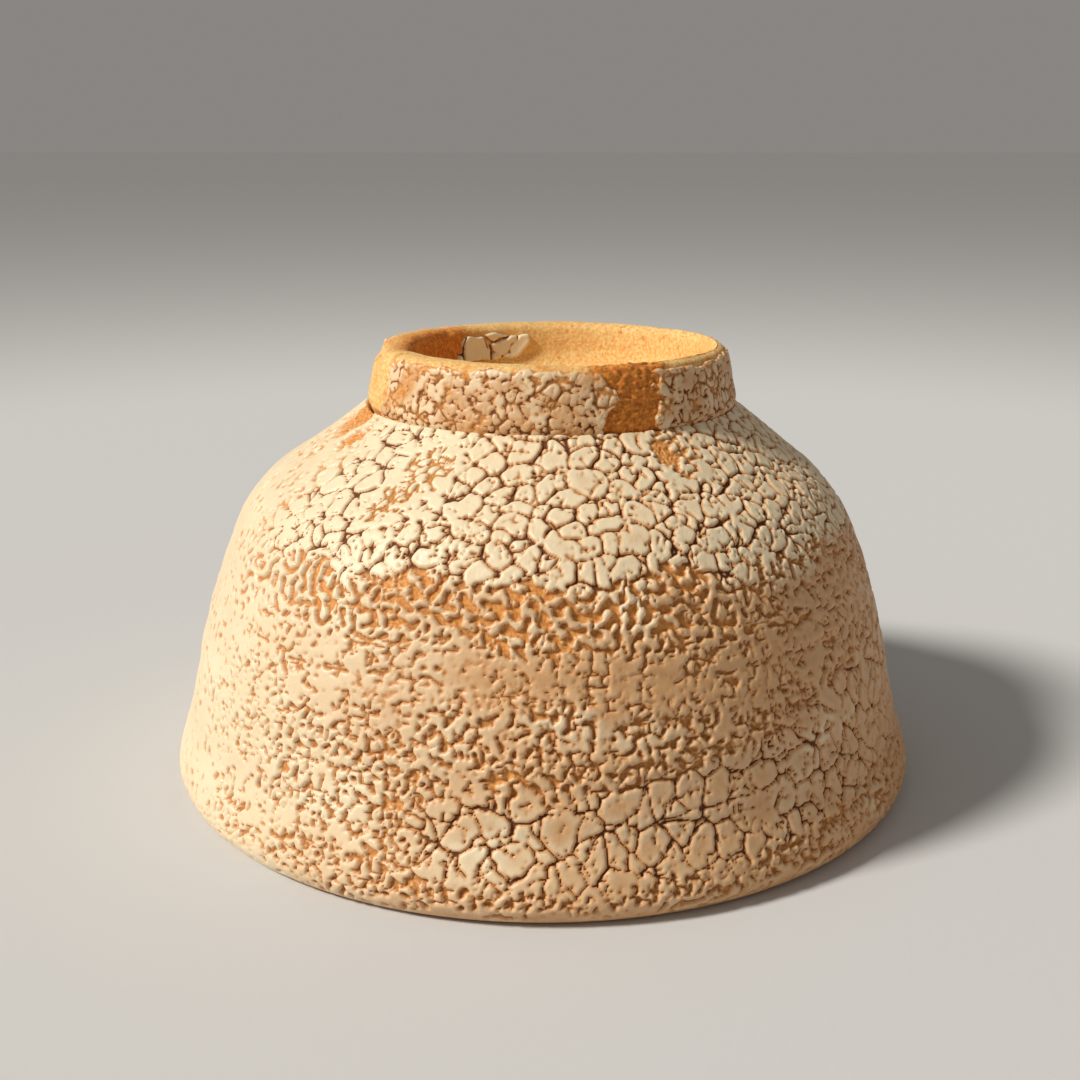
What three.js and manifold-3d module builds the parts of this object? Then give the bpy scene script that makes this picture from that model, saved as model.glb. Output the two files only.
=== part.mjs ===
// A matcha tea bowl with a crawled (kairagi) glaze, turned over on its rim with the foot ring up.
// Millimetres, +Z up. The origin is the centre of the plane that the rim stands on.
// The bowl is thrown stoneware. Its glaze coats are shells that lie on the clay face to face.

import * as THREE from "three";
import { mergeVertices } from "three/addons/utils/BufferGeometryUtils.js";
import Module from "manifold-3d";

const wasm = await Module();
wasm.setup();

// ---------- driving dimensions ----------

const HEIGHT = 71; // rim plane to the top of the foot ring
const WALL_GLAZE = 0.7; // thickness of the coat on the outer wall
const FOOT_GLAZE = 0.6;
const INNER_GLAZE = 0.5;
const WELL_GLAZE = 0.5;

const LIP = { outerRadius: 59.4, innerRadius: 57.4, glazeClear: 0.4 }; // the flat that the rim stands on

// The glazed outer wall from the lip up to the foot, as [radius, height].
const OUTER_WALL = [
  [60.4, LIP.glazeClear],
  [61.5, 1.6],
  [62, 3.4],
  [61.6, 5.8],
  [60.2, 9.6],
  [58.9, 14.4],
  [56.6, 25],
  [53.2, 36.4],
  [51, 42.1],
  [48.2, 46.9],
  [44.5, 50.7],
  [39.3, 54.6],
];
const FOOT_SEAT = { radius: 31, height: 61.2 }; // where the wall meets the foot ring

// The glazed inner wall from the lip up to the tea pool at the centre of the floor.
const INNER_WALL = [
  [56.9, LIP.glazeClear],
  [56.2, 2.6],
  [55.4, 6.4],
  [54, 12],
  [51.4, 25],
  [47.6, 36],
  [43.8, 42.2],
  [38, 47],
  [29.5, 50.6],
  [19, 52.6],
  [14.5, 52.9],
  [12.5, 53.9],
  [0, 54.6],
];

// The foot ring is cut a little off the bowl's axis, and its well off the ring's, so it is a crescent.
const FOOT = {
  centreX: 1.2,
  rootRadius: 29.7, // of the bare clay
  topRadius: 28.3,
  edge: 1.2, // rounding of its outer and inner top edges
  floorEdge: 1.5, // rounding between the well's wall and its floor
  wellRadius: 24.3,
  wellX: 2.2, // from the ring's own centre
  wellY: -0.8,
  wellDepth: 8, // from the top of the ring to the well's floor
};

// Bare gaps in the foot's glaze, as angles from +X, in degrees.
const BARE_LEFT = { from: 165, to: 211 };
const BARE_RIGHT = { from: 286.5, to: 302.5 };

// Bare spots in the wall's glaze close to the foot, as an angle, a distance from the axis and a radius.
const BARE_SPOTS = [
  { angle: 197, distance: 31, radius: 5 },
  { angle: 299, distance: 34, radius: 2.2 },
];

// A splash of glaze that ran down the wall of the well.
const SPLASH = { from: 108, to: 142, low: 1.8, high: 5.6 }; // heights above the well's floor

const SEGMENTS = 48; // around the bowl
const POST_SEGMENTS = 24; // around a bare spot
const SLACK = 1; // how far a cutting body reaches past what it cuts
const SPOT_DEPTH = 12; // from the foot's seat to below the wall's glaze at the farthest bare spot
const DEGREE = Math.PI / 180;

// ---------- helpers ----------

const material = (color, roughness) =>
  new THREE.MeshStandardMaterial({ color, roughness, metalness: 0 });

const CLAY = material(0xb9713a, 0.95);
const FOOT_CLAY = material(0xc98445, 0.95);
const WHITE_GLAZE = material(0xe3d3b4, 0.5);
const PINK_GLAZE = material(0xcfa98a, 0.55);
const INSIDE_GLAZE = material(0xe0cfae, 0.4);

// A solid of revolution about +Z from a closed loop of [radius, height] points, or from a loop that starts
// and ends on the axis. It runs anticlockwise, seen with the radius to the right and the height up.
function lathe(points) {
  const onAxis = points[0][0] === 0 && points.at(-1)[0] === 0;
  const loop = onAxis ? points : [...points, points[0]];
  const profile = loop.map(([r, z]) => new THREE.Vector2(r, z));
  return new THREE.LatheGeometry(profile, SEGMENTS).rotateX(Math.PI / 2);
}

// The same profile moved by a distance along its normals. A positive distance moves it to the left of its run.
function offset(points, distance) {
  return points.map((point, i) => {
    const before = points[Math.max(i - 1, 0)];
    const after = points[Math.min(i + 1, points.length - 1)];
    const run = new THREE.Vector2(after[0] - before[0], after[1] - before[1]).normalize();
    return [Math.max(point[0] - run.y * distance, 0), point[1] + run.x * distance];
  });
}

// A vertical prism over a sector of the plane, wide enough to reach past the foot ring.
function sector(fromDegrees, toDegrees, reach, low, high) {
  const start = fromDegrees * DEGREE;
  const shape = new THREE.Shape();
  shape.moveTo(0, 0);
  shape.lineTo(reach * Math.cos(start), reach * Math.sin(start));
  shape.absarc(0, 0, reach, start, toDegrees * DEGREE, false);
  shape.closePath();
  return new THREE.ExtrudeGeometry(shape, {
    depth: high - low,
    bevelEnabled: false,
    curveSegments: SEGMENTS / 2,
  }).translate(0, 0, low);
}

// An upright cylinder between two heights.
function post(radius, low, high, x, y) {
  return new THREE.CylinderGeometry(radius, radius, high - low, POST_SEGMENTS)
    .rotateX(Math.PI / 2)
    .translate(x, y, (low + high) / 2);
}

function toSolid(geometry) {
  const bare = new THREE.BufferGeometry()
    .setAttribute("position", geometry.getAttribute("position").clone())
    .setIndex(geometry.getIndex());
  const merged = mergeVertices(bare, 1e-4);
  return new wasm.Manifold(
    new wasm.Mesh({
      numProp: 3,
      vertProperties: new Float32Array(merged.getAttribute("position").array),
      triVerts: new Uint32Array(merged.getIndex().array),
    }),
  );
}

function toGeometry(solid) {
  const mesh = solid.getMesh();
  const geometry = new THREE.BufferGeometry();
  geometry.setAttribute("position", new THREE.BufferAttribute(new Float32Array(mesh.vertProperties), 3));
  geometry.setIndex(new THREE.BufferAttribute(new Uint32Array(mesh.triVerts), 1));
  geometry.computeVertexNormals();
  return geometry;
}

const cut = (geometry, ...tools) =>
  toGeometry(tools.reduce((solid, tool) => solid.subtract(toSolid(tool)), toSolid(geometry)));

const common = (geometry, tool) => toGeometry(toSolid(geometry).intersect(toSolid(tool)));

function piece(name, geometry, look) {
  const mesh = new THREE.Mesh(geometry, look);
  mesh.name = name;
  return mesh;
}

// ---------- clay ----------

// The clay lies under the glaze by the thickness of each coat.
const clayOutside = offset(OUTER_WALL, WALL_GLAZE);
const clayInside = offset(INNER_WALL, -INNER_GLAZE);

function clayBowl() {
  return lathe([
    [0, clayInside.at(-1)[1]],
    ...clayInside.slice(0, -1).reverse(),
    [LIP.innerRadius, 0],
    [LIP.outerRadius, 0],
    ...clayOutside,
    [FOOT_SEAT.radius, FOOT_SEAT.height],
    [0, FOOT_SEAT.height],
  ]);
}

// A rounded corner is drawn as two flats that meet this share of its radius from the sharp corner's sides.
const ROUND = 0.3;

// The ring's outside as [radius, height] from its root to the start of its flat top.
const footOutside = [
  [FOOT.rootRadius, FOOT_SEAT.height],
  [FOOT.topRadius, HEIGHT - FOOT.edge],
  [FOOT.topRadius - ROUND * FOOT.edge, HEIGHT - ROUND * FOOT.edge],
  [FOOT.topRadius - FOOT.edge, HEIGHT],
];

const wellFloor = HEIGHT - FOOT.wellDepth;

function footRing() {
  const blank = lathe([[0, FOOT_SEAT.height], ...footOutside, [0, HEIGHT]]);
  const bevel = FOOT.edge / 2; // of the well's upper edge
  const well = lathe([
    [0, wellFloor],
    [FOOT.wellRadius - FOOT.floorEdge, wellFloor],
    [FOOT.wellRadius - ROUND * FOOT.floorEdge, wellFloor + ROUND * FOOT.floorEdge],
    [FOOT.wellRadius, wellFloor + FOOT.floorEdge],
    [FOOT.wellRadius, HEIGHT - bevel],
    [FOOT.wellRadius + bevel, HEIGHT],
    [FOOT.wellRadius + bevel, HEIGHT + SLACK],
    [0, HEIGHT + SLACK],
  ]).translate(FOOT.wellX, FOOT.wellY, 0);
  return cut(blank, well);
}

// ---------- glaze ----------

function wallGlaze() {
  const shell = lathe([
    ...OUTER_WALL,
    [FOOT_SEAT.radius + WALL_GLAZE, FOOT_SEAT.height],
    [FOOT_SEAT.radius, FOOT_SEAT.height],
    ...clayOutside.toReversed(),
  ]);
  const spots = BARE_SPOTS.map(({ angle, distance, radius }) =>
    post(
      radius,
      FOOT_SEAT.height - SPOT_DEPTH,
      FOOT_SEAT.height + SLACK,
      distance * Math.cos(angle * DEGREE),
      distance * Math.sin(angle * DEGREE),
    ),
  );
  return cut(shell, ...spots);
}

function innerGlaze() {
  const clay = [...clayInside.slice(0, -1), [0, clayInside.at(-1)[1]]];
  return lathe([...INNER_WALL.toReversed(), ...clay]);
}

// A band of glaze on the foot ring's outside, from one angle to another.
function footGlaze(from, to) {
  const skin = footOutside.slice(0, 2);
  const band = lathe([...offset(skin, -FOOT_GLAZE), ...skin.toReversed()]);
  return common(band, sector(from, to, 2 * FOOT.rootRadius, FOOT_SEAT.height - SLACK, HEIGHT));
}

function wellSplash() {
  const low = wellFloor + SPLASH.low;
  const high = wellFloor + SPLASH.high;
  const band = lathe([
    [FOOT.wellRadius - WELL_GLAZE, low],
    [FOOT.wellRadius, low],
    [FOOT.wellRadius, high],
    [FOOT.wellRadius - WELL_GLAZE, high],
  ]);
  const reach = 2 * FOOT.wellRadius;
  return common(band, sector(SPLASH.from, SPLASH.to, reach, low - SLACK, high + SLACK))
    .translate(FOOT.wellX, FOOT.wellY, 0);
}

// ---------- assembly ----------

const foot = new THREE.Group();
foot.position.x = FOOT.centreX;
foot.add(
  piece("foot_ring", footRing(), FOOT_CLAY),
  piece("foot_glaze_front", footGlaze(BARE_LEFT.to, BARE_RIGHT.from), PINK_GLAZE),
  piece("foot_glaze_back", footGlaze(BARE_RIGHT.to, BARE_LEFT.from + 360), PINK_GLAZE),
  piece("well_glaze_splash", wellSplash(), WHITE_GLAZE),
);

const bowl = new THREE.Group();
bowl.add(
  piece("clay_bowl", clayBowl(), CLAY),
  piece("wall_glaze", wallGlaze(), WHITE_GLAZE),
  piece("inner_glaze", innerGlaze(), INSIDE_GLAZE),
  foot,
);

export default bowl;
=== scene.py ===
from math import radians

import bpy
import numpy as np
from mathutils import Matrix, Vector


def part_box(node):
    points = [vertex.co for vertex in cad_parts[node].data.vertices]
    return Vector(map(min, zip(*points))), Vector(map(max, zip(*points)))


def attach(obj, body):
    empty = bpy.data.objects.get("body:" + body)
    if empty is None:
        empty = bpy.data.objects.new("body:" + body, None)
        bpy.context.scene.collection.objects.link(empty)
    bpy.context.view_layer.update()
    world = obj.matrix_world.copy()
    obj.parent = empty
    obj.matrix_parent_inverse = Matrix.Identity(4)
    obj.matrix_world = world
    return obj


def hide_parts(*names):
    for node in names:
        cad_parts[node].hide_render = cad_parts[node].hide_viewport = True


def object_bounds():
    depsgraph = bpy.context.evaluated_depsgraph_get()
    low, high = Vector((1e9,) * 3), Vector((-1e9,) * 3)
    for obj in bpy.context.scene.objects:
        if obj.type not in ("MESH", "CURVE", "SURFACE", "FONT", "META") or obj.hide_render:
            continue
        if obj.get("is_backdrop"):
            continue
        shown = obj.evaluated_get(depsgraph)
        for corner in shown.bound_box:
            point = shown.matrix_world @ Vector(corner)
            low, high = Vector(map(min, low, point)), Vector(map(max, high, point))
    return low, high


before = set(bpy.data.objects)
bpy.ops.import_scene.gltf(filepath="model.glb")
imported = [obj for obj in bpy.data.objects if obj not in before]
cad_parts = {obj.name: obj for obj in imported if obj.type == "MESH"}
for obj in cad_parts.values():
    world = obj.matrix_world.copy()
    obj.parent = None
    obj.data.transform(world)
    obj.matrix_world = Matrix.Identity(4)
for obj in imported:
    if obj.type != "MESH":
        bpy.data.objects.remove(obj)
CAD_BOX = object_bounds()

# The glaze patterns are worked out in millimetres and the meshes are made in metres.
MM = 0.001
BODY = "root"
GRAIN = 0.21  # spacing of the wall glaze's vertices, mm

FOOT_LOW, FOOT_HIGH = (np.array(corner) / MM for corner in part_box("foot_ring"))
TOP = FOOT_HIGH[2]
SEAT = FOOT_LOW[2]  # where the wall meets the foot ring
FOOT_X = (FOOT_LOW[0] + FOOT_HIGH[0]) / 2  # the ring's axis from the bowl's
FOOT_ROOT = (FOOT_HIGH[0] - FOOT_LOW[0]) / 2  # the radius of its bare root

# The glazed outside from the lip's crest to the foot, as (radius, height) in millimetres.
OUTSIDE = [
    (58.4, 0.0),
    (59.5, 0.12),
    (60.6, 0.7),
    (61.5, 1.8),
    (62.0, 3.4),
    (61.6, 5.8),
    (60.2, 9.6),
    (58.9, 14.4),
    (56.6, 25.0),
    (53.2, 36.4),
    (51.0, 42.1),
    (48.2, 46.9),
    (44.5, 50.7),
    (39.3, 54.6),
    (30.2, SEAT + 0.3),
]

# The glazed inside from the lip's crest to the middle of the floor.
INSIDE = [
    (58.4, 0.0),
    (57.4, 0.12),
    (56.6, 0.9),
    (56.2, 2.6),
    (55.4, 6.4),
    (54.0, 12.0),
    (51.4, 25.0),
    (47.6, 36.0),
    (43.8, 42.2),
    (38.0, 47.0),
    (29.5, 50.6),
    (19.0, 52.6),
    (14.5, 52.9),
    (12.5, 53.9),
    (0.4, 54.6),
]


# ---------- noise ----------

FAR_OFF = 9  # a distance past anything that matters


def lattice_hash(cell, seed):
    """One even 32-bit number for each whole-numbered point of space."""
    i, j, k = (cell[:, axis].astype(np.uint32) for axis in range(3))
    mixed = (i * np.uint32(0x8DA6B343)) ^ (j * np.uint32(0xD8163841)) ^ (k * np.uint32(0xCB1AB31F))
    mixed = mixed + np.uint32((seed * 0x9E3779B9) & 0xFFFFFFFF)
    mixed ^= mixed >> np.uint32(16)
    mixed *= np.uint32(0x7FEB352D)
    mixed ^= mixed >> np.uint32(15)
    mixed *= np.uint32(0x846CA68B)
    mixed ^= mixed >> np.uint32(16)
    return mixed


def lattice_vector(cell, seed):
    """Three even numbers from 0 to 1 for each whole-numbered point of space."""
    bits = lattice_hash(cell, seed)
    parts = [(bits >> np.uint32(shift)) & np.uint32(1023) for shift in (0, 10, 20)]
    return np.stack(parts, axis=1).astype(np.float32) / np.float32(1023)


def noise(points, size, seed):
    """Smooth noise, about -1 to 1, whose bumps are about size apart."""
    place = (points / np.float32(size)).astype(np.float32)
    cell = np.floor(place).astype(np.int32)
    inside = place - cell
    ease = inside * inside * inside * (inside * (inside * 6 - 15) + 10)
    total = np.zeros(len(place), np.float32)
    for corner in np.ndindex(2, 2, 2):
        slope = lattice_vector(cell + np.array(corner, np.int32), seed) * 2 - 1
        share = np.prod(np.where(corner, ease, 1 - ease), axis=1)
        total += np.einsum("ij,ij->i", slope, inside - np.float32(corner)) * share
    return total * np.float32(1.6)


def warp(points, size, amount, seed):
    """The points moved about by noise."""
    return points + amount * np.stack([noise(points, size, seed + k) for k in range(3)], axis=1)


def cell_walls(points, normals, size, seed, soft):
    """The distance along the surface from each point to the nearest wall of the space's irregular cells."""
    place = (points / np.float32(size)).astype(np.float32)
    cell = np.floor(place).astype(np.int32)
    jitter = 0.85
    ways = []
    for step in np.ndindex(3, 3, 3):
        corner = cell + np.array(step, np.int32) - 1
        ways.append(corner + 0.5 + jitter * (lattice_vector(corner, seed) - 0.5) - place)
    nearest = ways[0].copy()
    best = np.einsum("ij,ij->i", nearest, nearest)
    for way in ways[1:]:
        reach = np.einsum("ij,ij->i", way, way)
        closer = reach < best
        best[closer] = reach[closer]
        nearest[closer] = way[closer]
    total = np.zeros(len(place), np.float32)
    for way in ways:
        between = way - nearest
        apart = np.maximum(np.sqrt(np.einsum("ij,ij->i", between, between)), 1e-3)
        straight = np.einsum("ij,ij->i", (way + nearest) / 2, between) / apart
        lean = np.einsum("ij,ij->i", between, normals) / apart
        along = straight / np.sqrt(np.maximum(1 - lean * lean, 0.02))
        along[apart <= 1e-3] = FAR_OFF
        total += np.exp(-along * np.float32(size / soft))
    return -soft * np.log(np.maximum(total, 1e-20))


def smoothstep(low, high, value):
    """0 up to low, 1 from high on and an eased rise between. With high below low, it falls instead."""
    t = np.clip((value - low) / (high - low), 0, 1)
    return t * t * (3 - 2 * t)


# ---------- surfaces ----------


def curve_through(outline, spacing):
    """Evenly spaced points on a smooth curve through an outline."""
    knots = np.array(outline, float)
    run = np.concatenate([[0], np.cumsum(np.linalg.norm(np.diff(knots, axis=0), axis=1))])
    slopes = np.gradient(knots, run, axis=0)
    places = np.linspace(0, run[-1], max(int(run[-1] / spacing), 4))
    i = np.clip(np.searchsorted(run, places) - 1, 0, len(run) - 2)
    span = (run[i + 1] - run[i])[:, None]
    t = ((places - run[i]) / (run[i + 1] - run[i]))[:, None]
    start = (2 * t**3 - 3 * t**2 + 1) * knots[i] + (t**3 - 2 * t**2 + t) * span * slopes[i]
    end = (3 * t**2 - 2 * t**3) * knots[i + 1] + (t**3 - t**2) * span * slopes[i + 1]
    return start + end


class Surface:
    """A surface of revolution, or a sector of one, as rows of points along its outline.

    Seen with the radius to the right and the height up, the surface faces the right of the outline's run."""

    def __init__(self, outline, spacing, columns, turn=(-270.0, 90.0), centre=(0.0, 0.0)):
        self.outline = curve_through(outline, spacing)
        self.closed = turn[1] - turn[0] > 359.9
        self.step = radians(turn[1] - turn[0]) / (columns if self.closed else columns - 1)
        self.angles = radians(turn[0]) + self.step * np.arange(columns)
        self.shape = (len(self.outline), columns)
        self.centre = centre
        along = np.gradient(self.outline, axis=0)
        along /= np.linalg.norm(along, axis=1, keepdims=True)
        self.row_gap = np.linalg.norm(np.diff(self.outline, axis=0), axis=1).mean()
        self.radius = np.maximum(self.outline[:, 0], 0.3)
        self.normals = self.spun(along[:, 1], -along[:, 0])
        self.points = self.spun(self.outline[:, 0], self.outline[:, 1])
        self.points[..., :2] += centre
        self.flat_points = self.points.reshape(-1, 3).astype(np.float32)
        self.flat_normals = self.normals.reshape(-1, 3).astype(np.float32)
        self.height = self.points[..., 2]
        self.degrees = np.degrees(np.broadcast_to(self.angles, self.shape))

    def spun(self, radial, upward):
        """One vector for each point, from its part away from the axis and its part along it."""
        radial = radial[:, None]
        return np.stack(
            [
                radial * np.cos(self.angles),
                radial * np.sin(self.angles),
                np.repeat(upward[:, None], self.shape[1], axis=1),
            ],
            axis=-1,
        )

    def noise(self, size, seed, squash=(1, 1, 1)):
        """Noise over the surface, with bumps about size millimetres apart."""
        return noise(self.flat_points * np.float32(squash), size, seed).reshape(self.shape)

    def only_where(self, amount, gap, *more):
        """gap(points, normals, amount), worked out only where amount is above 0.

        With more fields, amount is a table that has a column for each of them too."""
        inside = amount.reshape(-1) > 0.003
        given = np.stack([field.reshape(-1)[inside] for field in (amount, *more)], axis=1)
        if not more:
            given = given[:, 0]
        field = np.full(inside.shape, FAR_OFF, np.float32)
        field[inside] = gap(self.flat_points[inside], self.flat_normals[inside], given)
        return field.reshape(self.shape)

    def shifted(self, field, by):
        """A field moved by one column, 1 or -1. A sector's last column stands in for the one past its end."""
        if self.closed:
            return np.roll(field, by, axis=1)
        padded = np.pad(field, ((0, 0), (1, 1)), mode="edge")
        return padded[:, :-2] if by > 0 else padded[:, 2:]

    def steepness(self, field):
        """How fast a field changes along the surface, per millimetre."""
        around = (self.shifted(field, -1) - self.shifted(field, 1)) / (2 * self.radius[:, None] * self.step)
        along = np.gradient(field, self.row_gap, axis=0)
        return np.hypot(around, along)

    def spread(self, field, distance):
        """A field blurred over a distance, as heat spreads."""
        gap = self.radius * self.step
        gap = np.maximum(gap, 0.3 * self.row_gap)
        time = distance**2 / 2
        steps = max(int(np.ceil(time / (0.2 * min(gap.min(), self.row_gap) ** 2))), 1)
        around = (time / steps / gap**2)[:, None].astype(np.float32)
        along = np.float32(time / steps / self.row_gap**2)
        field = field.astype(np.float32)
        for _ in range(steps):
            padded = np.pad(field, ((1, 1), (0, 0)), mode="edge")
            change = around * (self.shifted(field, 1) + self.shifted(field, -1) - 2 * field)
            field = field + change + along * (padded[:-2] + padded[2:] - 2 * field)
        return field

    def raised(self, lift):
        """The surface's points moved out along its normals, by one distance or by one for each point."""
        return self.points + self.normals * np.asarray(lift)[..., None]


# ---------- crawled glaze ----------


def crack_gap(points, normals, size, width, amount, seed, soft=0.12):
    """The distance past the edge of the cracks between cells, which fade away where amount falls to 0."""
    return cell_walls(points, normals, size, seed, soft) - width + 0.6 * (1 - amount)


def island_cracks(surface, size, amount, seed, width):
    """The distance past the edge of the cracks that part the glaze into islands, and of stubs inside them."""

    def gap(points, normals, amount):
        drift = warp(warp(points, 1.3 * size, 0.32 * size, seed), 1.8, 0.3, seed + 3)
        half = width + 0.06 * noise(points, 3.0, seed + 6) + 0.05 * noise(points, 0.9, seed + 7)
        half = half - 0.3 * smoothstep(0.4, 0.6, noise(points, 0.9 * size, seed + 16))
        edges = crack_gap(drift * np.float32((1, 1, 1.1)), normals, size, half, amount, seed + 8)
        present = smoothstep(-0.1, 0.2, noise(points, 2.2, seed + 9))
        bent = warp(points, 2.4, 0.8, seed + 10)
        stub_half = (width + 0.03) * present - 0.07
        stubs = crack_gap(bent, normals, 0.62 * size, stub_half, amount, seed + 13, 0.06)
        return np.minimum(edges, stubs)

    return surface.only_where(amount, gap)


def winding_grooves(surface, spacing, closed, seed):
    """The distance past the edge of evenly spaced winding grooves.

    They are wide where closed is 0 and gone where it is 1. A coat that draws back from one groove swells
    beside it, so grooves keep clear of each other."""
    drift = 0.12 + 0.3 * surface.noise(3 * spacing, seed + 1)
    bent = warp(surface.flat_points, 1.6 * spacing, 0.35 * spacing, seed + 2)
    field = noise(bent, 0.55 * spacing, seed).reshape(surface.shape)
    for _ in range(4):
        near = surface.spread(field, 0.15 * spacing)
        wide = surface.spread(near, 0.3 * spacing)
        field = np.tanh(5 * (near - wide) + drift)
    field = surface.spread(field, 0.13 * spacing)
    return (field + closed) / np.maximum(surface.steepness(field), 0.5)


def short_cracks(surface, size, amount, crowd, seed, width):
    """The distance past the edge of short crooked cracks."""

    def gap(points, normals, amount_and_crowd):
        amount, crowd = amount_and_crowd.T
        wander = warp(points, 0.8 * size, 0.3 * size, seed) * np.float32((1, 1, 1.3))
        present = smoothstep(-0.2, 0.3, noise(points, 1.1 * size, seed + 3) + crowd)
        half = width * present - 0.06
        return crack_gap(wander, normals, size, half, amount, seed + 4, 0.06)

    return surface.only_where(amount, gap, crowd)


def fine_cracks(surface, crowd, seed):
    """The distance past the edge of hair-thin arcs and pinholes."""
    gaps = []
    for size, shift in ((1.7, 0), (2.4, 4)):
        bend = surface.noise(size, seed + shift, squash=(1, 1, 1.3))
        present = smoothstep(0.1, 0.45, surface.noise(0.9 * size, seed + shift + 1) + crowd)
        gaps.append(np.abs(bend) / np.maximum(surface.steepness(bend), 0.3) - 0.19 * present + 0.07)
    holes = 0.6 * (0.56 - surface.noise(0.8, seed + 2) - 0.2 * crowd)
    return np.minimum.reduce([*gaps, holes])


def cover_from(surface, straight, crooked, fine):
    """How much glaze lies at each point, from 0 to 1.

    Surface tension has rounded the crooked cracks' outlines."""
    rounded = surface.spread(smoothstep(-0.04, 0.04, crooked), 0.11)
    cover = np.minimum(smoothstep(0.3, 0.62, rounded), smoothstep(-0.05, 0.05, straight))
    return cover * (0.45 + 0.55 * smoothstep(-0.06, 0.06, fine))


class Coat:
    """A crawled coat's relief, and the fields that its material reads.

    Bead is where the edge of an island rolled up, lift is the height above the plain coat, clay is where clay
    shows, and narrow is where it shows only in a thin crack, where the material paints the crack's shade."""

    def __init__(self, surface, cover, depth, swell=1.3):
        near = surface.spread(cover, 0.09)
        middle = surface.spread(near, 0.22)
        wide = surface.spread(middle, 0.85)
        self.bead = middle - wide
        rolled = 0.45 * near + 0.55 * smoothstep(0.15, 1.0, middle)
        self.lift = np.maximum(depth * (rolled - 1.15 + swell * self.bead), -1.15 * depth)
        self.clay = 1 - smoothstep(0.25, 0.82, near)
        self.narrow = smoothstep(0.45, 0.78, wide)


# ---------- meshes ----------


def strip_uvs(shape, row_share, strips):
    """Texture places for a grid of quads, cut into strips that lie above each other."""
    rows, columns = shape
    per_strip = int(np.ceil(columns / strips))
    i, j = np.meshgrid(np.arange(rows), np.arange(columns), indexing="ij")
    strip = j // per_strip
    local = j - strip * per_strip
    share = np.append(row_share, 1.0)
    margin = 0.004
    tall = 1.0 / strips

    def place(row, column):
        u = margin + (1 - 2 * margin) * column / per_strip
        v = tall * strip + margin + (tall - 2 * margin) * share[row]
        return np.stack([u, v], axis=-1)

    corners = [place(i, local), place(i, local + 1), place(i + 1, local + 1), place(i + 1, local)]
    return np.stack(corners, axis=2)


def ring_mesh(name, rings, closed_rows, closed_columns=True, row_share=None, strips=1):
    """A mesh of quads over rows of points, closed by a last row of quads or by flat ends."""
    rows, columns, _ = rings.shape
    quad_rows = rows if closed_rows else rows - 1
    quad_columns = columns if closed_columns else columns - 1
    i, j = np.meshgrid(np.arange(quad_rows), np.arange(quad_columns), indexing="ij")
    below, above = i * columns, (i + 1) % rows * columns
    right = (j + 1) % columns
    quads = np.stack([below + j, below + right, above + right, above + j], axis=-1).reshape(-1, 4)
    number = np.arange(rows * columns).reshape(rows, columns)
    ends = []
    if not closed_rows:
        ends = [number[0, ::-1], number[-1]]
    if not closed_columns:
        ends = [number[:, 0], number[::-1, -1]]
    corners = np.concatenate([quads.ravel(), *ends]).astype(np.int32)
    sizes = np.concatenate([np.full(len(quads), 4), np.array([len(end) for end in ends], int)])
    starts = (np.cumsum(sizes) - sizes).astype(np.int32)
    mesh = bpy.data.meshes.new(name)
    mesh.vertices.add(rows * columns)
    mesh.vertices.foreach_set("co", (rings * MM).astype(np.float32).ravel())
    mesh.loops.add(len(corners))
    mesh.loops.foreach_set("vertex_index", corners)
    mesh.polygons.add(len(starts))
    mesh.polygons.foreach_set("loop_start", starts)
    mesh.polygons.foreach_set("use_smooth", np.ones(len(starts), bool))
    mesh.update(calc_edges=True)
    if row_share is None:
        row_share = np.arange(rows) / rows
    layer = mesh.uv_layers.new(name="OFBake")
    uvs = strip_uvs((quad_rows, quad_columns), row_share, strips).reshape(-1, 2)
    unseen = np.full((len(corners) - len(uvs), 2), 0.001)
    layer.data.foreach_set("uv", np.concatenate([uvs, unseen]).astype(np.float32).ravel())
    return mesh


def paint(mesh, skipped=0, **fields):
    """Named numbers on the vertices past the first ones skipped, for the material. The rest get 0."""
    for name, values in fields.items():
        numbers = np.zeros(len(mesh.vertices), np.float32)
        numbers[skipped : skipped + values.size] = values.ravel()
        layer = mesh.attributes.new(name, "FLOAT", "POINT")
        layer.data.foreach_set("value", numbers)


def add_piece(name, mesh, material, slot, *nodes):
    """A visible piece on the bowl's only body, in place of CAD nodes."""
    piece = bpy.data.objects.new(name, mesh)
    bpy.context.scene.collection.objects.link(piece)
    mesh.materials.append(material)
    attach(piece, BODY)
    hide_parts(*nodes)


def sunk(outline, depth):
    """An outline moved back from the side that its surface faces."""
    points = np.array(outline, float)
    run = np.gradient(points, axis=0)
    run /= np.linalg.norm(run, axis=1, keepdims=True)
    return points - depth * np.stack([run[:, 1], -run[:, 0]], axis=1)


def back_rows(outline, columns_like, count, centre=(0.0, 0.0)):
    """Coarse rows for the hidden side of a shell, with a column for each one of its fine side."""
    back = Surface(outline, 1.0, 4)
    picks = np.linspace(0, len(back.outline) - 1, count).astype(int)
    radial, upward = back.outline[picks, 0], back.outline[picks, 1]
    points = columns_like.spun(radial, upward)
    points[..., :2] += centre
    return points


# ---------- materials ----------

MIX_FACTOR, MIX_FIRST, MIX_SECOND = 0, 6, 7  # the colour sockets of Blender's Mix node
MIX_RESULT = 2


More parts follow.
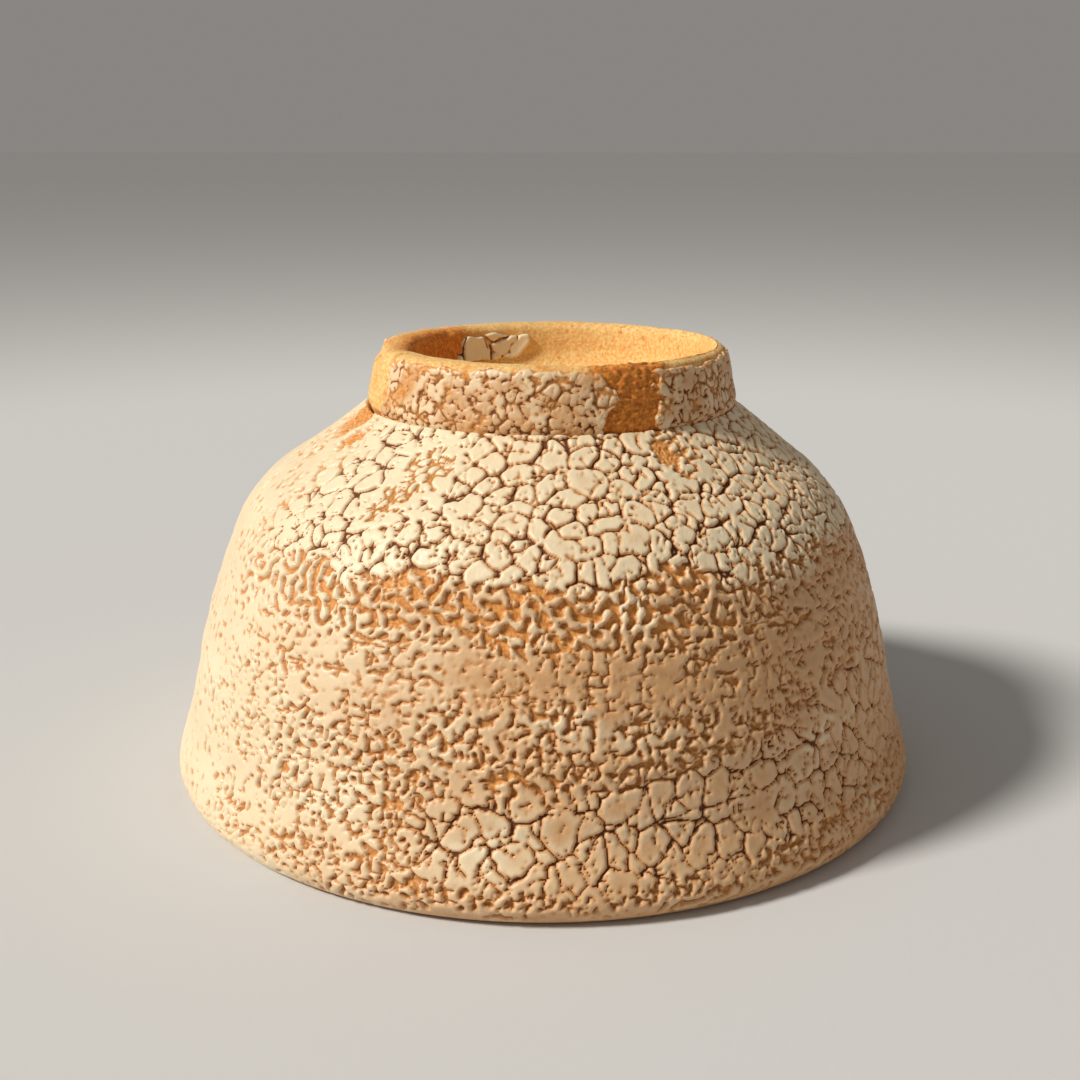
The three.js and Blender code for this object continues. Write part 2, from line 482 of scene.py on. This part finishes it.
class Nodes:
    """A material's node tree, with short calls for the nodes used here."""

    def __init__(self, name):
        self.material = bpy.data.materials.new(name)
        self.material.use_nodes = True
        self.tree = self.material.node_tree
        self.shader = self.tree.nodes["Principled BSDF"]
        self.place = self.tree.nodes.new("ShaderNodeTexCoord").outputs["Object"]

    def put(self, value, socket):
        """A link, or a plain value, on a socket."""
        if isinstance(value, bpy.types.NodeSocket):
            self.tree.links.new(value, socket)
        else:
            socket.default_value = value

    def field(self, name):
        """The numbers that paint() gave the mesh under a name."""
        node = self.tree.nodes.new("ShaderNodeAttribute")
        node.attribute_name = name
        return node.outputs["Fac"]

    def noise(self, size, detail):
        """Noise fixed to the object, with bumps size millimetres apart."""
        node = self.tree.nodes.new("ShaderNodeTexNoise")
        self.put(self.place, node.inputs["Vector"])
        node.inputs["Scale"].default_value = 1 / (size * MM)
        node.inputs["Detail"].default_value = detail
        node.inputs["Roughness"].default_value = 0.55
        return node.outputs["Fac"]

    def range(self, value, low, high, to_low=0.0, to_high=1.0):
        """An eased step from to_low up to to_high, as the value goes from low to high."""
        node = self.tree.nodes.new("ShaderNodeMapRange")
        node.interpolation_type = "SMOOTHSTEP"
        self.put(value, node.inputs["Value"])
        node.inputs["From Min"].default_value = low
        node.inputs["From Max"].default_value = high
        node.inputs["To Min"].default_value = to_low
        node.inputs["To Max"].default_value = to_high
        return node.outputs["Result"]

    def math(self, operation, a, b):
        node = self.tree.nodes.new("ShaderNodeMath")
        node.operation = operation
        self.put(a, node.inputs[0])
        self.put(b, node.inputs[1])
        return node.outputs["Value"]

    def mix(self, a, b, share):
        node = self.tree.nodes.new("ShaderNodeMix")
        node.data_type = "RGBA"
        self.put(share, node.inputs[MIX_FACTOR])
        self.put(a, node.inputs[MIX_FIRST])
        self.put(b, node.inputs[MIX_SECOND])
        return node.outputs[MIX_RESULT]

    def some(self, share, amount):
        """A share scaled down."""
        return self.math("MULTIPLY", share, amount)

    def bump(self, height, distance, before=None):
        """Relief a distance in millimetres deep, on top of any bump before it."""
        node = self.tree.nodes.new("ShaderNodeBump")
        self.put(height, node.inputs["Height"])
        node.inputs["Distance"].default_value = distance * MM
        if before is not None:
            self.put(before, node.inputs["Normal"])
        return node.outputs["Normal"]

    def finish(self, colour, roughness, normal):
        self.put(colour, self.shader.inputs["Base Color"])
        self.put(roughness, self.shader.inputs["Roughness"])
        self.put(normal, self.shader.inputs["Normal"])
        return self.material


# Linear colours, each with an alpha of 1.
WHITE = (0.87, 0.73, 0.50, 1)
CREAM = (0.82, 0.61, 0.38, 1)
PEACH = (0.68, 0.39, 0.18, 1)
DEEP_PEACH = (0.58, 0.27, 0.095, 1)
HALO = (0.62, 0.24, 0.055, 1)
CLAY_LIGHT = (0.56, 0.20, 0.035, 1)
# The clay's dark grains, and the painted shade deep in thin cracks.
CLAY_DARK_AND_CRACK_SHADE = (0.085, 0.019, 0.003, 1)
ORANGE = (0.78, 0.37, 0.10, 1)
OCHRE = (0.84, 0.64, 0.27, 1)
BURNT_AND_SHADE = (0.78, 0.29, 0.035, 1)
RUST = (0.48, 0.125, 0.016, 1)


def grainy(nodes, light, dark):
    """Coarse clay: light and dark grains with a few iron specks."""
    grains = nodes.range(nodes.noise(0.5, 4), 0.35, 0.68)
    colour = nodes.mix(light, dark, grains)
    specks = nodes.range(nodes.noise(1.3, 2), 0.63, 0.72)
    return nodes.mix(colour, RUST, nodes.some(specks, 0.6))


def crawled_glaze(name, thin, deep, white):
    """Thick satin glaze: pale where it rolled up, peach where it lies thin, with clay in its cracks and
    painted shade deep in the thin ones.
    """
    nodes = Nodes(name)
    fields = ("thick", "clay", "bare", "pink", "narrow")
    thick, clay, bare, pink, narrow = (nodes.field(field) for field in fields)
    blotch = nodes.range(nodes.noise(9, 3), 0.3, 0.7)
    mottle = nodes.range(nodes.noise(1.6, 3), 0.35, 0.7)
    body = nodes.mix(thin, deep, nodes.some(mottle, 0.45))
    pale = nodes.mix(white, CREAM, nodes.some(blotch, 0.4))
    colour = nodes.mix(pale, body, pink)
    colour = nodes.mix(body, colour, thick)
    specks = nodes.range(nodes.noise(0.55, 2), 0.66, 0.76)
    colour = nodes.mix(colour, CLAY_LIGHT, nodes.some(specks, 0.3))
    halo = nodes.range(clay, 0.03, 0.5)
    colour = nodes.mix(colour, HALO, nodes.some(halo, 0.85))
    floor = nodes.range(clay, 0.3, 0.8)
    open_floor = grainy(nodes, ORANGE, CLAY_LIGHT)
    # Painted shade: thin cracks get a near-black floor in place of the open clay's orange, for the shade deep
    # in them.
    floor_colour = nodes.mix(open_floor, CLAY_DARK_AND_CRACK_SHADE, nodes.some(narrow, 0.95))
    colour = nodes.mix(colour, floor_colour, floor)
    colour = nodes.mix(colour, open_floor, bare)
    satin = nodes.range(nodes.noise(2.5, 3), 0.3, 0.7, 0.36, 0.5)
    roughness = nodes.math("ADD", satin, nodes.some(clay, 0.4))
    fine = nodes.bump(nodes.noise(0.5, 3), 0.05)
    normal = nodes.bump(nodes.noise(0.16, 2), 0.03, before=fine)
    return nodes.finish(colour, roughness, normal)


def bare_clay(name, light, dark):
    """Unglazed clay, darker where the field named dark says so: scorch, coarse clay and painted shade."""
    nodes = Nodes(name)
    colour = grainy(nodes, light, dark)
    broad = nodes.range(nodes.noise(8, 3), 0.35, 0.7)
    colour = nodes.mix(colour, dark, nodes.some(broad, 0.4))
    # The field named dark brings burnt and rust grains: scorch and coarse clay, and painted shade on the
    # trimmed foot.
    colour = nodes.mix(colour, grainy(nodes, BURNT_AND_SHADE, RUST), nodes.field("dark"))
    roughness = nodes.range(nodes.noise(0.6, 3), 0.3, 0.7, 0.78, 0.95)
    coarse = nodes.bump(nodes.noise(0.9, 4), 0.14)
    normal = nodes.bump(nodes.noise(0.25, 3), 0.07, before=coarse)
    return nodes.finish(colour, roughness, normal)


# ---------- pieces ----------

FOOT_COAT = 0.6  # the coats' thicknesses in the CAD model, mm
INNER_COAT = 0.5

# Bare gaps in the foot's glaze, as angles from +X, in degrees.
BARE_LEFT = (165, 211)
BARE_RIGHT = (286.5, 302.5)

# Places near the foot where the wall's glaze gives way to clay, as angle, distance from the axis and radius.
BARE_SPOTS = [(197, 31.0, 5.2), (207, 34.5, 2.2), (299, 34.0, 2.4)]

# Places where the glaze cracked into crumbs, as angle, distance from the axis and radius.
CRUMBLED = [(241, 36.0, 5.5), (237, 42.0, 4.0), (303, 33.5, 5.5), (190, 36.0, 8.0)]

# The foot from its root outside, over its top and down the well to the middle of the well's floor.
FOOT_OUTLINE = [
    (FOOT_ROOT - 0.9, SEAT - 1.2),
    (FOOT_ROOT, SEAT + 1.0),
    (FOOT_ROOT - 0.5, SEAT + 4.0),
    (FOOT_ROOT - 1.15, TOP - 2.4),
    (FOOT_ROOT - 1.6, TOP - 0.9),
    (FOOT_ROOT - 2.3, TOP - 0.2),
    (FOOT_ROOT - 3.2, TOP),
    (FOOT_ROOT - 4.4, TOP - 0.12),
    (FOOT_ROOT - 5.2, TOP - 0.8),
    (FOOT_ROOT - 5.5, TOP - 2.2),
    (FOOT_ROOT - 5.8, TOP - 5.6),
    (FOOT_ROOT - 6.8, TOP - 7.4),
    (FOOT_ROOT - 9.0, TOP - 7.9),
    (14.0, TOP - 7.95),
    (0.4, TOP - 7.8),
]
WELL_SHIFT = np.array([1.8, -0.6])  # the well's axis from the ring's own


def facing(surface):
    """Degrees around from the side that faces -Y, positive towards +X."""
    return (surface.degrees + 90 + 180) % 360 - 180


def near_angle(surface, low, high, soft, wobble):
    """1 between two angles, 0 outside them. The edge is soft and is moved by the wobble, in degrees."""
    middle, half = (low + high) / 2, (high - low) / 2
    off = np.abs((surface.degrees - middle + 180) % 360 - 180) + wobble
    return smoothstep(half + soft, half - soft, off)


def patches(surface, places, seed, core=0.7):
    """1 inside round patches with ragged edges, 0 outside. The core is the share with the full 1."""
    found = np.zeros(surface.shape)
    ragged = 1.1 * surface.noise(3.0, seed) + 0.8 * surface.noise(1.0, seed + 1)
    for angle, distance, radius in places:
        x, y = distance * np.cos(radians(angle)), distance * np.sin(radians(angle))
        away = np.hypot(surface.points[..., 0] - x, surface.points[..., 1] - y) + ragged
        found = np.maximum(found, smoothstep(radius, core * radius, away))
    return found


def wall_zones(surface):
    """How strongly each kind of crack or colour shows in each part of the wall's glaze, by name.

    From the foot down, the front has a shoulder of small islands, a tall open row of grooves, thin closed
    glaze, and a band of larger islands that climbs to the right. The left is smoother and creamier; the right
    is painted rosier and less pale, as shade."""
    z, turned = surface.height, facing(surface)
    wobble = 1.8 * surface.noise(11, 3) + 1.5 * surface.noise(4, 4)
    left = smoothstep(-42, -78, turned + 6 * surface.noise(9, 9))
    left = left * smoothstep(-175, -120, turned + 40 * surface.noise(24, 10))
    crumbs = patches(surface, CRUMBLED, 70, 0.3)
    shoulder = smoothstep(41.5, 47.5, z + wobble + 2 * left) * (1 - 0.9 * left)
    rising = np.clip((turned - 5) / 60, 0, 1.35)
    middle = 11.5 + 9 * rising**1.3 + 6 * smoothstep(90, 150, turned) * surface.noise(20, 6)
    half = 6.8 + 1.6 * surface.noise(9, 5) + 4.5 * rising
    band = smoothstep(1.15, 0.6, np.abs(z + 0.6 * wobble - middle) / half)
    band = band * smoothstep(-34, -6, turned) * smoothstep(172, 140, turned + 20 * surface.noise(14, 7))
    whole = smoothstep(0.45, 0.8, np.maximum(shoulder, band))
    rim = smoothstep(3.8, 1.8, z + 0.4 * wobble)
    smooth = smoothstep(15, 45, turned) * smoothstep(26, 31, z) * smoothstep(48, 44, z)
    smooth = smooth * smoothstep(120, 80, turned)
    tall = np.exp(-(((z + wobble - 41) / 4.0) ** 2)) * (1 - left) * (1 - smooth) * (1 - whole)
    creamy = smoothstep(-178, -130, turned) * smoothstep(0, -50, turned + 14 * surface.noise(12, 64))
    thin = np.exp(-(((z + 1.5 * wobble - 33) / 4.5) ** 2)) * (1 - whole)
    patchy = surface.noise(7, 62, squash=(1, 1, 1.8)) + 0.5 * surface.noise(2.6, 63)
    closed = 0.76 + 0.26 * thin + 0.12 * creamy + smoothstep(0.6, 0.95, np.maximum(shoulder, band))
    closed = closed - 0.55 * tall - (0.3 + 0.25 * left) * patchy
    # Painted shade: toward the right, turned away from the key light, the wall is made rosier and the band's
    # islands lose their paleness.
    rosy_shade = smoothstep(0, 60, turned + 10 * surface.noise(13, 65)) * smoothstep(178, 130, turned)
    banded = band * (0.25 - 0.25 * np.clip(rising, 0, 1))
    return {
        "small": smoothstep(0.15, 0.45, shoulder) * (1 - crumbs),
        "large": smoothstep(0.15, 0.45, band),
        "worms": (1 - 0.12 * whole) * (1 - 0.9 * rim) * (1 - 0.25 * left),
        "crowd": 0.3 * surface.noise(9, 60) + 0.06 - 0.12 * left - 0.1 * smooth - 0.3 * whole,
        "closed": closed,
        "thin": thin,
        "crumbs": smoothstep(0.1, 0.4, crumbs),
        "left": left,
        "pale": np.maximum(smoothstep(0, 1, shoulder), banded),
        "creamy": creamy,
        "rosy_shade": rosy_shade * (1 - shoulder),
        "whole": whole,
    }


def level_cracks(surface, amount, seed):
    """The distance past the edge of two long cracks that run around the wall along the throwing rings."""
    wander = 1.1 * surface.noise(6.0, seed) + 0.5 * surface.noise(1.8, seed + 1)
    gaps = []
    for height, shift in ((36.8, 2), (32.2, 3)):
        present = smoothstep(-0.05, 0.25, surface.noise(4.5, seed + shift))
        gaps.append(np.abs(surface.height + wander - height) - 0.26 * present + 0.08)
    return np.minimum(*gaps) + 0.8 * (1 - amount)


def throwing_rings(surface):
    """The low ridges that the potter's fingers left around the wall."""
    z = surface.height
    drift = 1.2 * surface.noise(40, 90)
    fade = smoothstep(4, 9, z) * smoothstep(58, 50, z)
    ridges = 0.07 * np.sin(z / 1.1 + drift) + 0.12 * np.exp(-(((z - 33.5 - 0.5 * drift) / 0.9) ** 2))
    return fade * ridges + 0.35 * surface.noise(26, 91) * fade


def lean(rings):
    """The top of the wall moved over to meet the foot, which stands off the bowl's axis."""
    rings[..., 0] += FOOT_X * smoothstep(46, 60, rings[..., 2])
    return rings


def make_wall_glaze(material):
    """The thick coat on the outer wall, crawled into islands, grooves and crumbs."""
    mean_radius = 59
    columns = int(2 * np.pi * mean_radius / GRAIN / 2) * 2  # an even number, for two strips of texture
    surface = Surface(OUTSIDE, GRAIN, columns)
    zones = wall_zones(surface)
    left, whole, crumbs, crowd = (zones[name] for name in ("left", "whole", "crumbs", "crowd"))
    thin, rosy_shade, pale, creamy = (zones[name] for name in ("thin", "rosy_shade", "pale", "creamy"))
    bare = patches(surface, BARE_SPOTS, 95, 0.5)
    straight = np.minimum.reduce(
        [
            island_cracks(surface, 3.5, zones["small"], 20, 0.075),
            island_cracks(surface, 4.2, zones["large"], 40, 0.085),
            island_cracks(surface, 1.9, crumbs, 150, 0.09),
        ]
    )
    worms = zones["worms"] * (1 - crumbs)
    crooked = np.minimum.reduce(
        [
            short_cracks(surface, 2.2, worms, crowd + 0.25 - 0.2 * thin, 61, 0.16),
            winding_grooves(surface, 1.9, zones["closed"], 120),
            level_cracks(surface, (1 - left) * (1 - whole), 180),
        ]
    )
    fine = fine_cracks(surface, 0.4 * crowd - 0.1 - 0.45 * whole + 0.2 * rosy_shade, 200)
    cover = cover_from(surface, straight, crooked, fine)
    coat = Coat(surface, cover * (1 - 0.9 * bare), 0.52)
    lip = smoothstep(0.4, 2.2, surface.height)
    lift = coat.lift * lip * (1 - 0.3 * left) * (1 - 0.3 * crumbs)
    lift = lift * (1 - 0.35 * thin) * (1 - 0.12 * whole)
    lift = lift + bare * 0.2 * (surface.noise(0.8, 98) + surface.noise(0.45, 99))
    deepest = -0.62
    outer = surface.raised(np.maximum(lift, deepest) + throwing_rings(surface))
    back = back_rows(sunk(OUTSIDE[3:], 1.3)[::-1], surface, 16)
    mesh = ring_mesh(
        "wall_glaze_crawled",
        lean(np.concatenate([outer, back])),
        closed_rows=True,
        row_share=np.append(np.linspace(0, 0.97, len(outer)), np.linspace(0.975, 0.995, len(back))),
        strips=2,
    )
    thick = smoothstep(-0.03, 0.12, coat.bead + 0.07 * pale - 0.03 + 0.2 * creamy - 0.04 * thin)
    warm = surface.noise(16, 97, squash=(1, 1, 1.8)) + 0.35 + 0.4 * thin + 0.4 * rosy_shade
    pink = smoothstep(-0.35, 0.45, warm) * (1 - pale) * (1 - 0.85 * creamy) * (0.75 + 0.2 * rosy_shade)
    # Painted shade: all the cracks of the island zones, and the thin ones elsewhere, get the dark crack
    # floor.
    narrow = np.maximum(whole, 0.6 * coat.narrow) * (1 - 0.7 * crumbs)
    clay = coat.clay * lip * (1 - 0.8 * bare) * (1 - 0.4 * creamy * (1 - whole)) * (1 - 0.55 * left)
    paint(mesh, thick=thick, clay=clay, bare=bare, pink=pink, narrow=narrow)
    add_piece("wall_glaze_crawled", mesh, material, "wall_glaze", "wall_glaze")


def make_trimmed_foot(material):
    """The bare foot ring and its well, with turning marks, nicks, a worn left side and painted shade."""
    spacing = 1.25 * GRAIN
    mean_radius = 27
    surface = Surface(FOOT_OUTLINE, spacing, int(2 * np.pi * mean_radius / spacing), centre=(FOOT_X, 0))
    radius = surface.outline[:, 0:1] * np.ones(surface.shape)
    z = surface.height
    inward = smoothstep(FOOT_ROOT - 2.3, FOOT_ROOT - 5.0, radius)
    left = near_angle(surface, 172, 198, 10, 3 * surface.noise(9, 101))
    rough = near_angle(surface, 282, 307, 3, 2 * surface.noise(3, 110)) * (1 - inward)
    outward = smoothstep(FOOT_ROOT - 3.6, FOOT_ROOT - 2.0, radius)
    shoulder = np.exp(-(((z - TOP + 0.9) / 1.3) ** 2)) * outward
    top = smoothstep(TOP - 2.5, TOP - 0.5, z)
    grain = 0.05 * surface.noise(0.8, 102) + 0.035 * surface.noise(0.45, 103) + 0.1 * surface.noise(3.2, 104)
    crumbs = 0.3 * rough * (surface.noise(0.9, 111) + 0.5 * surface.noise(0.5, 112))
    turning = 0.06 * np.sin(6 * z + 1.5 * surface.noise(14, 105)) * (1 - inward)
    spiral = 0.09 * np.sin(2.6 * radius + surface.angles + surface.noise(10, 106))
    spiral = spiral * smoothstep(22, 20, radius)
    lift = grain + crumbs + turning + spiral * smoothstep(1.0, 4.0, radius) - 0.9 * left * shoulder
    nicks = smoothstep(0.55, 0.8, surface.noise(1.7, 107)) * top
    outer = surface.raised(lift - 0.22 * nicks)
    outer[..., :2] += WELL_SHIFT * inward[..., None]
    outer[..., 2] -= top * (0.5 * left + 0.14 * surface.noise(12, 108))
    root = outer[:1] * [1, 1, 0] + [0, 0, SEAT - 1.3]
    centre = np.array([FOOT_X, 0, 0])
    base = (root - centre) * [0.02, 0.02, 1] + centre
    mesh = ring_mesh("trimmed_foot", np.concatenate([base, root, outer]), closed_rows=False)
    # Painted shadow: the upper left inner wall of the well, which the ring's left side shades from the key
    # light, is darkened.
    painted_well_shadow = near_angle(surface, 128, 205, 10, 8 * surface.noise(5, 113)) * inward
    painted_well_shadow = painted_well_shadow * smoothstep(TOP - 8, TOP - 6, z)
    patchy = smoothstep(0.3, 0.7, surface.noise(2.6, 109) + 0.3 * left)
    # Painted shade: a dark line in the crease where the foot meets the wall, left out on the worn left side.
    crease = smoothstep(SEAT + 1.2, SEAT + 0.2, z) * (1 - inward) * (1 - left)
    dark = np.maximum.reduce([painted_well_shadow, rough, 0.6 * patchy * (1 - inward), crease])
    hidden_rows = 2
    paint(mesh, skipped=hidden_rows * surface.shape[1], dark=dark)
    add_piece("trimmed_foot", mesh, material, "foot_clay", "foot_ring")


def make_foot_glaze(name, material, low, high, seed):
    """Thin glaze on the foot's outside between two angles, with ragged ends and a ragged upper edge."""
    spread = 4  # degrees past the coat's ends, where it sinks into the clay
    outline = [(radius + FOOT_COAT, z) for radius, z in FOOT_OUTLINE[:5]] + [(FOOT_ROOT - 1.75, TOP + 0.1)]
    spacing = 0.75 * GRAIN
    mean_radius = 30
    columns = int(radians(high - low + 2 * spread) * mean_radius / spacing)
    surface = Surface(outline, spacing, columns, (low - spread, high + spread), (FOOT_X, 0))
    patchy = smoothstep(-0.1, 0.2, surface.noise(6, seed))
    straight = island_cracks(surface, 1.9, 0.9 + 0.1 * patchy, seed + 1, 0.075)
    crooked = short_cracks(surface, 1.8, 1 - patchy, 0.2 * surface.noise(5, seed + 15), seed + 18, 0.17)
    fine = fine_cracks(surface, 0.05, seed + 50)
    ragged = 2.6 * surface.noise(4.0, seed + 25) + 1.0 * surface.noise(1.2, seed + 26)
    middle = (low + high) / 2
    to_end = (high - low) / 2 - np.abs(surface.degrees - middle)
    to_end = to_end * radians(1) * mean_radius + ragged
    to_top = (TOP - 0.45 - surface.height) * 1.6 + 0.5 * ragged
    held = smoothstep(-0.3, 0.4, np.minimum(to_end, to_top))
    cover = cover_from(surface, straight, crooked, fine) * held
    coat = Coat(surface, cover, 0.24, 0.6)
    outer = surface.raised(coat.lift - 0.75 * (1 - held))
    back = back_rows(sunk(outline, 1.0)[::-1], surface, 6, (FOOT_X, 0))
    mesh = ring_mesh(name, np.concatenate([outer, back]), closed_rows=True, closed_columns=False)
    rolls = smoothstep(2.6, 0.8, TOP - surface.height)
    pink = smoothstep(-0.3, 0.3, surface.noise(5, seed + 27) + 0.1) * 0.8 * (1 - 0.7 * rolls)
    thick = smoothstep(-0.04, 0.12, coat.bead + 0.04 * rolls)
    worn = 0.6 * smoothstep(0.2, 0.5, surface.noise(4.5, seed + 40) + 0.25 * surface.noise(1.3, seed + 41))
    paint(mesh, thick=thick, clay=coat.clay, pink=pink, narrow=coat.narrow, bare=worn)
    add_piece(name, mesh, material, "foot_glaze", name.replace("crawled_", ""))


def make_well_splash(material):
    """Glaze that ran down the wall of the well and cracked into a few big islands."""
    face = FOOT_ROOT - 5.6
    outline = [(face - 0.2, TOP - 1.2), (face - 0.45, TOP - 3.5), (face - 0.8, TOP - 6.4)]
    centre = tuple(np.array([FOOT_X, 0]) + WELL_SHIFT)
    surface = Surface(outline, 0.7 * GRAIN, 140, (100, 146), centre)
    straight = island_cracks(surface, 8.0, np.ones(surface.shape), 227, 0.1)
    across = (surface.degrees - 122.5) * radians(1) * face / 7.4
    down = (surface.height - TOP + 3.9) / 2.5
    blob = (across**4 + down**4) ** 0.25 + 0.3 * surface.noise(3.0, 230)
    held = smoothstep(1.0, 0.88, blob)
    cover = smoothstep(-0.05, 0.05, straight) * held
    coat = Coat(surface, cover, 0.42)
    outer = surface.raised(coat.lift - 0.9 * (1 - held))
    back = back_rows(sunk(outline, 1.1)[::-1], surface, 5, centre)
    mesh = ring_mesh("well_splash", np.concatenate([outer, back]), closed_rows=True, closed_columns=False)
    thick = smoothstep(-0.02, 0.1, coat.bead + 0.06)
    # Painted shade: every crack of the splash gets the dark crack floor.
    paint(mesh, thick=thick, clay=coat.clay, narrow=np.ones(surface.shape))
    add_piece("well_splash", mesh, material, "wall_glaze", "well_glaze_splash")


def make_inner_glaze(material):
    """The smooth coat inside the bowl, with pinholes, faint crazing and the potter's finger marks."""
    spacing = 2.2 * GRAIN
    mean_radius = 52
    surface = Surface(INSIDE[::-1], spacing, int(2 * np.pi * mean_radius / spacing))
    pits = smoothstep(0.5, 0.75, surface.noise(1.6, 301) + 0.25 * surface.noise(9, 302))
    crazing = cell_walls(warp(surface.flat_points, 6, 1.5, 303), surface.flat_normals, 6.5, 306, 0.1)
    crazing = crazing.reshape(surface.shape)
    crazing = smoothstep(0.38, 0.08, crazing) * smoothstep(-0.2, 0.4, surface.noise(18, 307))
    rings = 0.14 * np.sin(surface.height / 1.3 + surface.noise(30, 308)) * smoothstep(3, 8, surface.height)
    lip = smoothstep(0.3, 2.0, surface.height)
    lift = lip * (0.1 * surface.noise(7, 309) - 0.26 * pits - 0.16 * crazing + rings)
    outer = surface.raised(lift)
    outer[0, :, :2] *= 0.02  # closes the middle
    hidden = [(radius + INNER_COAT + 0.4, z + 0.5) for radius, z in INSIDE[2:-1]]
    back = back_rows(hidden, surface, 18)
    pole = back[-1:] * [0, 0, 1]
    middle = outer[:1]
    all_rows = np.concatenate([outer, back, middle * [1, 1, 0] + pole])
    mesh = ring_mesh("smooth_inner_glaze", all_rows, closed_rows=True)
    thick = smoothstep(-0.4, 0.4, surface.noise(11, 310))
    clay = np.maximum(0.8 * pits, 0.35 * crazing) * lip
    paint(mesh, thick=thick, clay=clay)
    add_piece("smooth_inner_glaze", mesh, material, "inner_glaze", "inner_glaze")


def make_clay_body(material):
    """The thrown clay between the two coats. Little of it shows."""
    outside = sunk(OUTSIDE[3:], 1.0).tolist()
    inside = sunk(INSIDE[::-1][1:-3], INNER_COAT + 0.3).tolist()
    under_seat = SEAT - 1.6
    loop = outside + [(29.0, under_seat), (0.4, under_seat), (0.4, inside[0][1])] + inside + [(58.6, 0.9)]
    ring = Surface([(1, 0), (1, 1)], 1, 360)
    radial, upward = np.array(loop).T
    mesh = ring_mesh("thrown_clay", lean(ring.spun(radial, upward)), closed_rows=True)
    add_piece("thrown_clay", mesh, material, "body_clay", "clay_bowl")


# ---------- stage ----------

LENS = 47.1  # mm, on a sensor SENSOR mm wide
SENSOR = 36
EYE = (0, -0.2304, 0.1022)
LOOK_DOWN = 15.72  # degrees
TURNED_LEFT = 0.12  # degrees

FLOOR_NEAR = (0.62, 0.62, 0.62, 1)
FLOOR_FAR = (0.235, 0.235, 0.235, 1)
FLOOR_FADE = 0.35  # how far from the middle of the floor it begins to darken, metres
FLOOR_REACH = 15.0  # metres
FLOOR_SPECULAR = 0.1
FLOOR_ROUGHNESS = 0.8

AMBIENT_COLOUR = (1.0, 0.96, 0.9, 1)
AMBIENT_STRENGTH = 0.25


def make_camera():
    """The photo's viewing angle: a little above the bowl's front."""
    camera = bpy.data.objects.new("camera", bpy.data.cameras.new("camera"))
    bpy.context.scene.collection.objects.link(camera)
    camera.data.sensor_width = SENSOR
    camera.data.lens = LENS
    camera.data.clip_start = 0.01
    aim = Matrix.Rotation(radians(TURNED_LEFT), 4, "Z") @ Matrix.Rotation(radians(90 - LOOK_DOWN), 4, "X")
    camera.matrix_world = Matrix.Translation(Vector(EYE)) @ aim
    bpy.context.scene.camera = camera


def make_light(name, place, width, strength, colour):
    """A far lamp that shines from a place towards the origin. Its width, in degrees, softens the shadows."""
    data = bpy.data.lights.new(name, "SUN")
    data.angle = radians(width)
    data.energy = strength
    data.color = colour
    light = bpy.data.objects.new(name, data)
    bpy.context.scene.collection.objects.link(light)
    light.rotation_euler = Vector(place).to_track_quat("Z", "Y").to_euler()


def make_stage():
    nodes = Nodes("pale_floor")
    away = nodes.tree.nodes.new("ShaderNodeVectorMath")
    away.operation = "LENGTH"
    nodes.put(nodes.place, away.inputs[0])
    # Painted fall-off of light: the floor is pale near the bowl and darkens away from it, into the world's
    # grey.
    nearness = nodes.math("DIVIDE", FLOOR_FADE, away.outputs["Value"])
    colour = nodes.mix(FLOOR_FAR, FLOOR_NEAR, nodes.range(nearness, 0.0, 1.0))
    nodes.shader.inputs["Specular IOR Level"].default_value = FLOOR_SPECULAR
    material = nodes.finish(colour, FLOOR_ROUGHNESS, nodes.bump(nodes.noise(2, 2), 0.02))
    mesh = bpy.data.meshes.new("floor")
    turns = ((-1, -1), (1, -1), (1, 1), (-1, 1))
    corners = [(x * FLOOR_REACH, y * FLOOR_REACH, 0) for x, y in turns]
    mesh.from_pydata(corners, [], [(0, 1, 2, 3)])
    mesh.materials.append(material)
    floor = bpy.data.objects.new("floor", mesh)
    bpy.context.scene.collection.objects.link(floor)
    floor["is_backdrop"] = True
    world = bpy.data.worlds.new("studio")
    world.use_nodes = True
    background = world.node_tree.nodes["Background"]
    background.inputs["Color"].default_value = AMBIENT_COLOUR
    background.inputs["Strength"].default_value = AMBIENT_STRENGTH
    bpy.context.scene.world = world
    make_light("key", place=(-0.74, -0.27, 0.7), width=11, strength=3.5, colour=(1.0, 0.96, 0.89))
    bpy.context.scene.view_settings.view_transform = "Standard"


make_camera()
make_stage()

wall_glaze = crawled_glaze("crawled_white_glaze", PEACH, DEEP_PEACH, WHITE)
foot_glaze = crawled_glaze("crawled_pink_glaze", PEACH, DEEP_PEACH, CREAM)
make_wall_glaze(wall_glaze)
make_trimmed_foot(bare_clay("trimmed_foot_clay", OCHRE, ORANGE))
make_foot_glaze("crawled_foot_glaze_front", foot_glaze, BARE_LEFT[1], BARE_RIGHT[0], 130)
make_foot_glaze("crawled_foot_glaze_back", foot_glaze, BARE_RIGHT[1], BARE_LEFT[0] + 360, 160)
make_well_splash(wall_glaze)
make_inner_glaze(crawled_glaze("inner_glaze", CREAM, PEACH, WHITE))
make_clay_body(bare_clay("thrown_body_clay", CLAY_LIGHT, CLAY_DARK_AND_CRACK_SHADE))

boxes = {"cad": CAD_BOX, "visual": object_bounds()}
{name: [[float(n) for n in corner] for corner in box] for name, box in boxes.items()}
